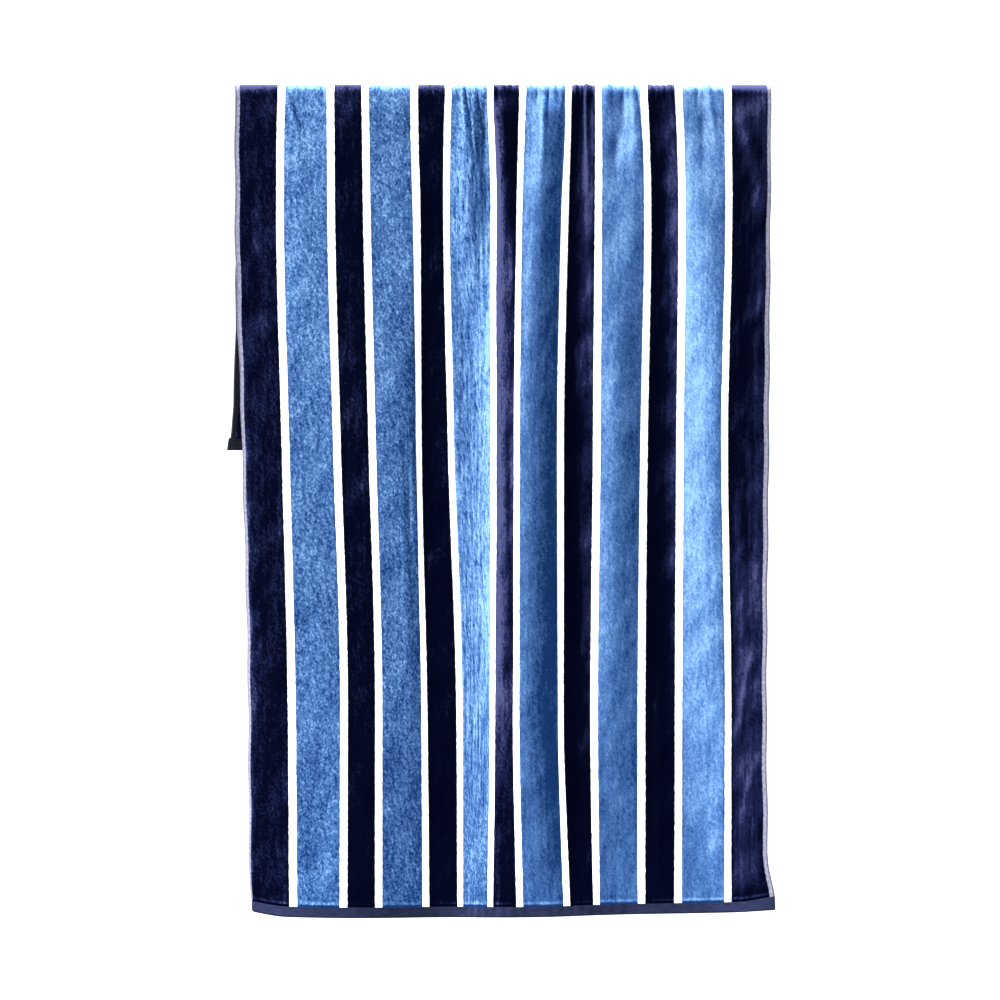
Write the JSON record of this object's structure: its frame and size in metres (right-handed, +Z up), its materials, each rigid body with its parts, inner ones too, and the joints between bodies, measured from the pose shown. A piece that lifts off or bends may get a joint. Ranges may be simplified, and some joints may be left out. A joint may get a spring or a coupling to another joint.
{
  "type": "beach towel",
  "caption": "Striped velour beach towel hanging folded over a rail, with turned hems, flat selvages and soft vertical folds.",
  "frame": {"origin": "inside of the crest fold, half-way along it, where the rail's top touches the cloth", "axes": "+Z up, +X along the rail to the right of someone facing the towel, and the long front layer faces -Y"},
  "size_m": [0.8249, 0.0912, 1.2621],
  "materials": {
    "towel_velour": "sheared cotton pile, striped navy, white and light blue"
  },
  "bodies": {
    "root": {"towel": "towel_velour"}
  },
  "joints": []
}
